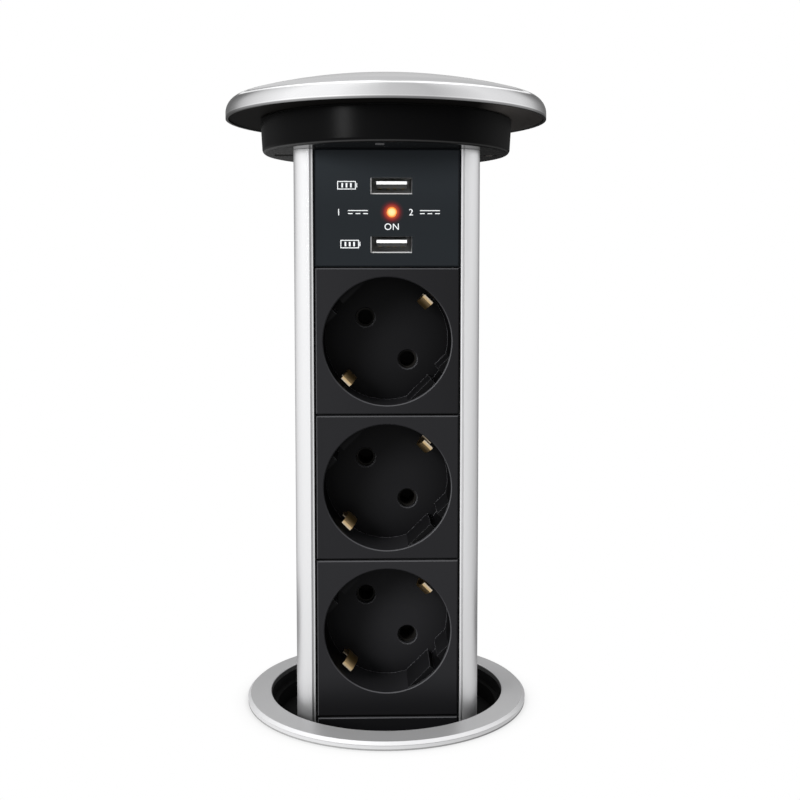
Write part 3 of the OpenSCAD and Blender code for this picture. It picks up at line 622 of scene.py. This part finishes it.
def under_finish():
    """Dull underside of the lid, with a painted sheen that makes it lighter on the right."""
    colour, half = (0.09, 0.083, 0.078), 50 * MM
    made = surface("lid_under", colour, 0.5, grain(0.4 * MM), 0.05, 0.002 * MM, Specular_IOR_Level=0.05)
    tree = made[1]
    along = tree.span(tree.place()[0], -half, half, kind="LINEAR")
    tone = tree.ramp(along, (0.0, 0.05), (0.2, 0.1), (0.3, 0.06), (0.76, 0.06), (0.84, 1.0), (0.95, 0.5))
    return toned(made, colour, tone)


# Painted light and shade on each socket insert: tones at the left and right of its plate, and on the floor
# of its recess
SOCKET_SHADING = {1: (1.15, 0.72, 0.62), 2: (1.05, 1.0, 0.68), 3: (1.25, 1.25, 0.95)}
# Light of the lamp by the distance from its middle, on the panel and on its own lens
PANEL_GLOW = (
    (0.34, (0.8, 0.15, 0.02)),
    (0.38, (0.45, 0.08, 0.015)),
    (0.43, (0.36, 0.05, 0.01)),
    (0.53, (0.26, 0.005, 0.0)),
    (0.64, (0.075, 0.0, 0.0)),
    (0.77, (0.02, 0.0, 0.0)),
    (0.9, 0.0),
)
LENS_GLOW = (
    (0.0, (1.0, 0.90, 0.45)),
    (0.6, (1.0, 0.78, 0.30)),
    (0.85, (1.0, 0.45, 0.08)),
    (1.0, (0.75, 0.18, 0.03)),
)


def make_finishes(finishes, sizes):
    """All finishes of the object by name."""
    silver = tuple(finishes.silver)
    panel = tuple(finishes.panel_black)
    plate = tuple(finishes.plate_black)
    gloss = tuple(finishes.gloss_black)
    brass = tuple(finishes.brass)
    grey = tuple(finishes.edge_glint_grey)
    made = {}

    def keep(name, *args, **sockets):
        made[name] = surface(name, *args, **sockets)[0]

    # Darkest black for the stop ring and guide foot, as painted shade deep in the well
    keep("well_black", (0.008, 0.008, 0.008), 0.6, grain(0.6 * MM), 0.06, 0.01 * MM, Specular_IOR_Level=0.05)
    keep("rubber_black", plate, 0.75, grain(0.4 * MM), 0.08, 0.01 * MM)
    keep("gasket_grey", (0.30, 0.30, 0.30), 0.75, grain(0.4 * MM), 0.08, 0.01 * MM, 0.1)
    # Brass behind the pin holes is darkened as painted shade, so that the holes read black
    keep("brass_shade_dark", (0.06, 0.045, 0.025), 0.5, grain(0.5 * MM), 0.08, 0.002 * MM, 0.1, Metallic=0.5)
    keep("sleeve_shade_dark", (0.012, 0.011, 0.01), 0.6, grain(0.5 * MM), 0.08, 0.003 * MM, 0.1,
         Specular_IOR_Level=0.1)
    keep("carrier_ivory", (0.72, 0.66, 0.52), 0.5, grain(0.5 * MM), 0.06, 0.004 * MM, 0.03)
    keep("steel_plated", (0.62, 0.62, 0.63), 0.25, grain(0.5 * MM), 0.06, 0.001 * MM, 0.04, Metallic=1.0)
    # The gold of the contacts is darkened as painted shade inside the ports
    keep("contact_gold", (0.30, 0.24, 0.14), 0.35, grain(0.3 * MM), 0.05, 0.001 * MM, 0.05, Metallic=1.0)
    keep("board_lacquer", (0.012, 0.10, 0.035), 0.3, grain(1.5 * MM), 0.08, 0.004 * MM, 0.15)
    keep("coil_wrap", (0.60, 0.42, 0.05), 0.45, grain(0.8 * MM), 0.08, 0.01 * MM, 0.12)
    keep("pad_felt", (0.04, 0.04, 0.04), 0.85, grain(0.3 * MM), 0.08, 0.03 * MM, 0.15,
         Specular_IOR_Level=0.1)
    keep("ink_white", tuple(finishes.ink), 0.5, grain(0.1 * MM), 0.05, 0.0, 0.04)
    keep("moulding_grey", (0.12, 0.12, 0.125), 0.4, grain(0.2 * MM), 0.05, 0.001 * MM, 0.05)

    made["lid_satin"] = lid_finish(silver)
    made["lid_under"] = under_finish()
    made["collar_gloss"] = collar_finish(gloss)
    made["rail_brushed"] = rail_finish(silver, sizes)
    made["flange_turned"] = flange_finish(silver)
    made["barrel_black"] = barrel_finish(plate)
    made["cover_black"] = moulding("cover_black", plate, grey, skirt_tone)[0]
    for i, tones in SOCKET_SHADING.items():
        middle = middle_of(f"earth_strap_{i}")
        tone = socket_tone(middle, sizes.recess_depth, *tones)
        made[f"socket_black_{i}"] = moulding(f"socket_black_{i}", plate, grey, tone)[0]
        made[f"arm_brass_{i}"] = arm_finish(f"arm_brass_{i}", brass, middle)

    panel_plain = moulding("panel_black", panel, panel, panel_tone)
    made["panel_black"] = lamp_glow(panel_plain, sizes.glow_r, *PANEL_GLOW)
    red_lens = surface("lens_red", (0.35, 0.01, 0.005), 0.15, grain(0.5 * MM), 0.03)
    made["lens_red"] = lamp_glow(red_lens, LAMP_R, *LENS_GLOW)
    tongue = surface("tongue_white", (0.9, 0.9, 0.9), 0.4, grain(0.4 * MM), 0.05, 0.001 * MM,
                     Specular_IOR_Level=0.1)
    made["tongue_white"] = depth_shading(tongue, low_of("usb_tongues").y, 0.1 * MM, 0.9, 0.05, 0.4)
    shell = surface("shell_steel", (0.8, 0.8, 0.8), 0.35, grain(0.3 * MM), 0.05, 0.001 * MM, Metallic=0.2)
    made["shell_steel"] = depth_shading(shell, low_of("usb_shell_1").y, 0.2 * MM, 0.6, 0.25, 0.55)
    return made


FINISH = {}
# CAD nodes by finish, apart from those of the three sockets
DRESSED = {
    "lid_satin": ("lid_shell",),
    "lid_under": ("lid_plate", "lid_clips"),
    "collar_gloss": ("lid_collar",),
    "rail_brushed": ("left_rail", "right_rail"),
    "panel_black": ("usb_panel",),
    "cover_black": ("back_cover", "foot_plate"),
    "flange_turned": ("flange_ring",),
    "gasket_grey": ("flange_gasket",),
    "barrel_black": ("barrel_cap", "clamp_nut"),
    "well_black": ("stop_ring", "guide_foot"),
    "rubber_black": ("cable_grommet",),
    "pad_felt": ("glide_pads",),
    "lens_red": ("lamp_lens",),
    "shell_steel": ("usb_shell_1", "usb_shell_2"),
    "tongue_white": ("usb_tongues",),
    "board_lacquer": ("usb_board",),
    "coil_wrap": ("board_parts",),
    "carrier_ivory": ("terminal_block",),
    "brass_shade_dark": ("live_bar", "neutral_bar", "earth_bar", "board_leads"),
    "steel_plated": ("clamp_washer", "rail_screws_top", "rail_screws_foot", "board_screws",
                     "terminal_screws"),
}


class DESKSOCKET_OT_finishes(bpy.types.Operator):
    """Make the finishes of the object"""
    bl_idname = "desksocket.finishes"
    bl_label = "Finishes"

    def execute(self, context):
        scene = context.scene
        FINISH.update(make_finishes(scene.desksocket_finishes, scene.desksocket_sizes))
        return {"FINISHED"}


class DESKSOCKET_OT_column(bpy.types.Operator):
    """Dress the CAD nodes of the column, the lid and the mount"""
    bl_idname = "desksocket.column"
    bl_label = "Column and mount"

    def execute(self, context):
        for finish, names in DRESSED.items():
            dress(FINISH[finish], *names)
        for i in SOCKET_SHADING:
            dress(FINISH[f"socket_black_{i}"], f"socket_{i}")
            dress(FINISH[f"arm_brass_{i}"], f"earth_strap_{i}")
            dress(FINISH["sleeve_shade_dark"], f"pin_sleeves_{i}")
            dress(FINISH["carrier_ivory"], f"contact_carrier_{i}")
        return {"FINISHED"}


class DESKSOCKET_OT_barrel(bpy.types.Operator):
    """Make the threaded barrel with its lip, its inner ribs and the windows for the cap"""
    bl_idname = "desksocket.barrel"
    bl_label = "Threaded barrel"

    def execute(self, context):
        sizes = context.scene.desksocket_sizes
        lug_turns, spare, rib_gap = (30, 150, 270), 1 * MM, 0.1 * MM
        crest_r = high_of("barrel_cap").x
        root_r = crest_r - sizes.thread_depth
        low, high = low_of("barrel").z, high_of("barrel").z
        lip_r, lip_z = high_of("barrel").x, high_of("flange_gasket").z
        cap_top, rib_top = high_of("barrel_cap").z, low_of("stop_ring").z - rib_gap
        lug_z = (low + cap_top) / 2
        plain = cap_top + sizes.thread_depth
        bm = bmesh.new()
        lathe(bm, [(BORE_R, low), (crest_r, low), (crest_r, plain), (root_r, plain + sizes.thread_depth),
                   (root_r, lip_z), (lip_r, lip_z), (lip_r, high), (BORE_R, high)])
        windows = bmesh.new()
        half_w, half_h = sizes.window_w / 2, sizes.window_h / 2
        for turn in lug_turns:
            corners = block(windows, (BORE_R - spare, -half_w, lug_z - half_h),
                            (crest_r + spare, half_w, lug_z + half_h))
            spun = Matrix.Rotation(math.radians(turn), 3, "Z")
            bmesh.ops.rotate(windows, verts=corners, cent=(0, 0, 0), matrix=spun)
        bm = carve(bm, windows)
        half_rib = sizes.rib_w / 2
        for side in (-1, 1):
            ends = sorted((side * (BORE_R - sizes.rib_h), side * (BORE_R + sizes.thread_depth / 4)))
            block(bm, (ends[0], -half_rib, cap_top), (ends[1], half_rib, rib_top))
        pitch = sizes.thread_pitch
        self.thread(bm, root_r, crest_r, plain + pitch, -pitch / 2, pitch)
        finish_piece(bm, "threaded_barrel", "desk_mount", FINISH["barrel_black"], ["barrel"])
        return {"FINISHED"}

    def thread(self, bm, root_r, crest_r, low, high, pitch):
        """Winds a right-hand ridge up the outside, from low to high: one turn, stacked on itself."""
        steps, stack_gap = 48, 1e-6
        root_half, crest_half = 0.36 * pitch, 0.15 * pitch
        sunk_r = root_r - 0.1 * MM
        section = [(sunk_r, root_half), (crest_r, crest_half), (crest_r, -crest_half), (sunk_r, -root_half)]
        coil = bmesh.new()
        start = outline(coil, [(r, low + z) for r, z in section])
        bmesh.ops.spin(coil, geom=start, axis=(0, 0, 1), cent=(0, 0, 0), dvec=(0, 0, pitch / steps),
                       angle=2 * math.pi, steps=steps)
        turn = coil.verts[:] + coil.edges[:] + coil.faces[:]
        for rise in range(1, round((high - low) / pitch)):
            copied = bmesh.ops.duplicate(coil, geom=turn)["geom"]
            moved = [part for part in copied if isinstance(part, bmesh.types.BMVert)]
            bmesh.ops.translate(coil, verts=moved, vec=(0, 0, rise * pitch))
        bmesh.ops.remove_doubles(coil, verts=coil.verts, dist=stack_gap)
        ends = [edge for edge in coil.edges if edge.is_boundary]
        bmesh.ops.holes_fill(coil, edges=ends, sides=len(section))
        add_copy(bm, coil)


class DESKSOCKET_OT_ports(bpy.types.Operator):
    """Make the sprung contacts under the tongues of the USB ports"""
    bl_idname = "desksocket.ports"
    bl_label = "USB contacts"

    def execute(self, context):
        tip = low_of("usb_tongues").y
        front, back = tip + 2.5 * MM, tip + 9 * MM
        places = (-3.5 * MM, -1 * MM, 1 * MM, 3.5 * MM)
        width, thickness, drop, rounding = 1 * MM, 0.15 * MM, 0.6 * MM, 0.05 * MM
        bm = bmesh.new()
        for k in PORT_NUMBERS:
            port = middle_of(f"usb_shell_{k}")
            top = port.z - drop
            for x in places:
                left = port.x + x - width / 2
                verts = block(bm, (left, front, top - thickness), (left + width, back, top))
                soften(bm, list({edge for vert in verts for edge in vert.link_edges}), rounding)
        finish_piece(bm, "usb_contacts", "tower", FINISH["contact_gold"])
        return {"FINISHED"}


class DESKSOCKET_OT_marks(bpy.types.Operator):
    """Print plain signs and numbers on the USB panel"""
    bl_idname = "desksocket.marks"
    bl_label = "Printed marks"

    def execute(self, context):
        sizes = context.scene.desksocket_sizes
        battery_places = (-12.2 * MM, -11.3 * MM)
        number_places = (("1", -14.6 * MM, -8.8 * MM), ("2", 7.2 * MM, 12.9 * MM))
        word_drop = 4.35 * MM
        bm = bmesh.new()
        for k, x in zip(PORT_NUMBERS, battery_places):
            self.battery(bm, sizes, x, middle_of(f"usb_shell_{k}").z)
        for number, x, sign_x in number_places:
            self.letters(bm, sizes, number, x, LAMP.z)
            self.direct_current(bm, sizes, sign_x, LAMP.z)
        self.letters(bm, sizes, "ON", LAMP.x, LAMP.z - word_drop)
        finish_piece(bm, "panel_marks", "tower", FINISH["ink_white"])
        return {"FINISHED"}

    def bar(self, bm, sizes, x, z, width, height):
        """One printed bar round a middle."""
        block(bm, (x - width / 2, PANEL_FACE - sizes.ink_t, z - height / 2),
              (x + width / 2, PANEL_FACE, z + height / 2))

    def battery(self, bm, sizes, x, z):
        """Outline of a battery with its charge."""
        line = sizes.ink_line
        width, height = 5.6 * MM, 2.5 * MM
        charge_step, charge_w, charge_h = 1.3 * MM, 0.5 * MM, height - 4.5 * line
        for side in (-1, 1):
            self.bar(bm, sizes, x, z + side * (height - line) / 2, width, line)
            self.bar(bm, sizes, x + side * (width - line) / 2, z, line, height - 2 * line)
        self.bar(bm, sizes, x + width / 2 + line, z, line, height / 2)
        for step in (-1, 0, 1):
            self.bar(bm, sizes, x + step * charge_step, z, charge_w, charge_h)

    def direct_current(self, bm, sizes, x, z):
        """Sign for direct current: a line over three dashes."""
        line = sizes.ink_line
        width, half_gap, dash_step, dash_w = 6 * MM, 0.45 * MM, 2.3 * MM, 1.4 * MM
        self.bar(bm, sizes, x, z + half_gap, width, line)
        for step in (-1, 0, 1):
            self.bar(bm, sizes, x + step * dash_step, z - half_gap, dash_w, line)

    def letters(self, bm, sizes, words, x, z):
        """Letters or numbers round a middle, as thin solids on the panel."""
        capital_share = 0.7
        curve = bpy.data.curves.new("letters", "FONT")
        curve.body = words
        curve.align_x = "CENTER"
        curve.size = sizes.letter_h / capital_share
        curve.extrude = sizes.ink_t / 2
        curve.space_character = 1.1
        writing = bpy.data.objects.new("letters", curve)
        bpy.context.scene.collection.objects.link(writing)
        view = bpy.context.evaluated_depsgraph_get()
        mesh = bpy.data.meshes.new_from_object(writing.evaluated_get(view))
        bpy.data.objects.remove(writing)
        bpy.data.curves.remove(curve)
        place = Vector((x, PANEL_FACE - sizes.ink_t / 2, z - sizes.letter_h / 2))
        mesh.transform(Matrix.Translation(place) @ Matrix.Rotation(math.pi / 2, 4, "X"))
        bm.from_mesh(mesh)
        bpy.data.meshes.remove(mesh)


class DESKSOCKET_OT_collar_tab(bpy.types.Operator):
    """Make the small flat tab under the collar, in front of the panel"""
    bl_idname = "desksocket.collar_tab"
    bl_label = "Collar tab"

    def execute(self, context):
        middle = Vector((-2.3 * MM, -32.6 * MM, low_of("lid_collar").z))
        half, rounding = Vector((1.3 * MM, 1.4 * MM, 0.12 * MM)), 0.1 * MM
        bm = bmesh.new()
        block(bm, middle - half, middle + half)
        soften(bm, bm.edges[:], rounding)
        finish_piece(bm, "collar_tab", "tower", FINISH["moulding_grey"])
        return {"FINISHED"}


# Stage

# Brightness of the studio above and below the horizon by azimuth in degrees, 0 in front and -90 on the left
HIGH_WALLS = (
    (-180, 0.30), (-165, 0.17), (-150, 0.16), (-136, 0.27), (-122, 0.60), (-108, 0.80), (-70, 1.17),
    (-35, 1.12), (0, 0.69), (32, 0.59), (74, 0.92), (108, 0.84), (122, 0.66), (136, 0.32), (150, 0.18),
    (165, 0.18), (180, 0.30),
)
LOW_WALLS = (
    (-180, 0.05), (-168, 0.17), (-150, 0.35), (-130, 0.75), (-108, 0.96), (-83, 1.04), (-46, 1.10),
    (-15, 1.12), (20, 0.90), (47, 0.82), (72, 0.73), (100, 0.62), (125, 0.45), (150, 0.15), (165, 0.03),
    (180, 0.05),
)
# Brightness of the light strip over the lid's rim
STRIP_LIGHT = 0.9
# Direction from the front to the lid, for which the roof and the strip are placed
LID_SIGHT = Vector((0, 0.986, 0.165))


def walls(tree, turn, stops):
    """Brightness of a ring of soft walls."""
    peak = max(value for _, value in stops)
    shade = tree.ramp(turn, *((azimuth / 360 + 0.5, value / peak) for azimuth, value in stops))
    return tree.math("MULTIPLY", shade, peak)


def studio_world(scene):
    """White ground for the camera, and a soft studio for light and reflections."""
    world = bpy.data.worlds.new("studio")
    scene.world = world
    world.use_nodes = True
    tree = Tree(world.node_tree)
    ray = tree.add("TexCoord").outputs["Generated"]
    x, y, z = tree.split(ray)
    around = tree.math("ARCTAN2", x, tree.math("MULTIPLY", y, -1.0))
    turn = tree.math("ADD", tree.math("DIVIDE", around, math.tau), 0.5)
    high, low = walls(tree, turn, HIGH_WALLS), walls(tree, turn, LOW_WALLS)
    tilt = tree.split(tree.vector("NORMALIZE", tree.vector("SUBTRACT", ray, LID_SIGHT)))[2]
    roof = tree.times(tree.span(z, 0.15, 0.45, 0.52, 0.70), tree.span(x, -0.6, 0.6, 1.06, 0.86))
    strip = tree.times(tree.span(tilt, 0.49, 0.53), tree.span(tilt, 0.57, 0.61, 1.0, 0.0),
                       tree.span(z, 0.1, 0.2), STRIP_LIGHT)
    sky = tree.math("ADD", tree.between(tree.span(tilt, 0.60, 0.66), high, roof), strip)
    light = tree.between(tree.span(z, -0.03, 0.03), low, sky)
    seen = tree.add("LightPath").outputs["Is Camera Ray"]
    strength = tree.between(seen, light, 1.0)
    ground = tree.add("Background", {"Color": (1, 1, 1, 1), "Strength": strength})
    tree.add("OutputWorld", {"Surface": ground.outputs[0]})


def board_white():
    """White board with a painted contact shadow and a painted grey shade on its edge and underside, which
    lights the object softly from below and behind.
    """
    material = bpy.data.materials.new("board_white")
    material.use_nodes = True
    tree = Tree(material.node_tree)
    path = tree.add("LightPath").outputs
    x, y, _ = tree.place()
    side = tree.span(x, -0.06, 0.06, 0.98, 0.76)
    mirrored = tree.add("Emission", {"Strength": tree.times(side, tree.span(y, -0.03, 0.04, 1.0, 0.2))})
    bounced = tree.add("Emission", {"Strength": 0.3})
    open_sky = tree.add("AmbientOcclusion", {"Distance": 6 * MM}, samples=12).outputs["AO"]
    shadow = tree.span(open_sky, 0.45, 0.97, 0.75, 1.0, "LINEAR")
    top = tree.span(tree.upward(), 0.2, 0.8, 0.78, 1.0)
    shown = tree.add("Emission", {"Strength": tree.times(shadow, top)})
    soft = tree.add("MixShader", {0: path["Is Camera Ray"], 1: bounced.outputs[0], 2: shown.outputs[0]})
    both = tree.add("MixShader", {0: path["Is Glossy Ray"], 1: soft.outputs[0], 2: mirrored.outputs[0]})
    tree.add("OutputMaterial", {"Surface": both.outputs[0]})
    return material


def desk_board(stage):
    """Round white board with the hole that the barrel goes through."""
    bm = bmesh.new()
    lathe(bm, [(stage.desk_hole_r, 0), (stage.desk_r, 0), (stage.desk_r, -stage.desk_t),
               (stage.desk_hole_r, -stage.desk_t)])
    bmesh.ops.recalc_face_normals(bm, faces=bm.faces)
    mesh = bpy.data.meshes.new("desk_board")
    bm.to_mesh(mesh)
    bm.free()
    board = bpy.data.objects.new("desk_board", mesh)
    bpy.context.scene.collection.objects.link(board)
    mesh.materials.append(board_white())


def round_light(name, place, aim, size, watts):
    """Round soft light that faces a point."""
    data = bpy.data.lights.new(name, "AREA")
    data.shape = "DISK"
    data.size = size
    data.energy = watts
    light = bpy.data.objects.new(name, data)
    bpy.context.scene.collection.objects.link(light)
    light.location = place
    light.rotation_euler = (Vector(aim) - light.location).to_track_quat("-Z", "Y").to_euler()
    return light


def key_light(stage):
    """Soft light from the upper left that shades the black plastic and leaves the metal to the studio."""
    light = round_light("key_light", stage.key_place, stage.key_aim, stage.key_size, stage.key_watts)
    light.visible_glossy = False


def collar_sheen(stage):
    """Small light for the soft sheen on the collar alone."""
    light = round_light("collar_sheen", stage.sheen_place, middle_of("lid_collar"), stage.sheen_size,
                        stage.sheen_watts)
    lit_part = bpy.data.collections.new("sheen_on")
    lit_part.objects.link(NODES["lid_collar"])
    light.light_linking.receiver_collection = lit_part


class DESKSOCKET_OT_stage(bpy.types.Operator):
    """Set up the camera, the white desk board and the soft light"""
    bl_idname = "desksocket.stage"
    bl_label = "Stage"

    def execute(self, context):
        scene = context.scene
        stage = scene.desksocket_stage
        data = bpy.data.cameras.new("photo_camera")
        data.sensor_width = stage.sensor
        data.lens = stage.lens
        data.shift_y = stage.camera_shift
        data.clip_start = 10 * MM
        camera = bpy.data.objects.new("photo_camera", data)
        scene.collection.objects.link(camera)
        camera.location = stage.camera_place
        camera.rotation_euler = (math.pi / 2 - stage.camera_pitch, 0, -stage.camera_yaw)
        scene.camera = camera
        scene.view_settings.view_transform = "Standard"
        studio_world(scene)
        desk_board(stage)
        key_light(stage)
        collar_sheen(stage)
        return {"FINISHED"}


class DESKSOCKET_PT_panel(bpy.types.Panel):
    """Sizes, colours and steps of the pop up desk socket"""
    bl_idname = "DESKSOCKET_PT_panel"
    bl_label = "Pop Up Desk Socket"
    bl_space_type = "VIEW_3D"
    bl_region_type = "UI"
    bl_category = "Desk Socket"

    def draw(self, context):
        for step in STEPS:
            self.layout.operator(step.bl_idname)
        for name in SETTINGS:
            group = getattr(context.scene, name)
            box = self.layout.box()
            for key in group.bl_rna.properties.keys():
                if key not in {"rna_type", "name"}:
                    box.prop(group, key)


SETTINGS = {
    "desksocket_sizes": DeskSocketSizes,
    "desksocket_finishes": DeskSocketFinishes,
    "desksocket_stage": DeskSocketStage,
}
STEPS = (
    DESKSOCKET_OT_finishes,
    DESKSOCKET_OT_column,
    DESKSOCKET_OT_barrel,
    DESKSOCKET_OT_ports,
    DESKSOCKET_OT_marks,
    DESKSOCKET_OT_collar_tab,
    DESKSOCKET_OT_stage,
)
CLASSES = (*SETTINGS.values(), *STEPS, DESKSOCKET_PT_panel)


def register():
    """Registers the classes and hangs the settings on the scene."""
    for cls in CLASSES:
        bpy.utils.register_class(cls)
    for name, group in SETTINGS.items():
        setattr(bpy.types.Scene, name, bpy.props.PointerProperty(type=group))


def unregister():
    """Takes the settings and the classes away again."""
    for name in SETTINGS:
        delattr(bpy.types.Scene, name)
    for cls in reversed(CLASSES):
        bpy.utils.unregister_class(cls)


def main():
    """Registers the add-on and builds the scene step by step."""
    register()
    for step in STEPS:
        group, name = step.bl_idname.split(".")
        getattr(getattr(bpy.ops, group), name)()


if __name__ == "__main__":
    main()
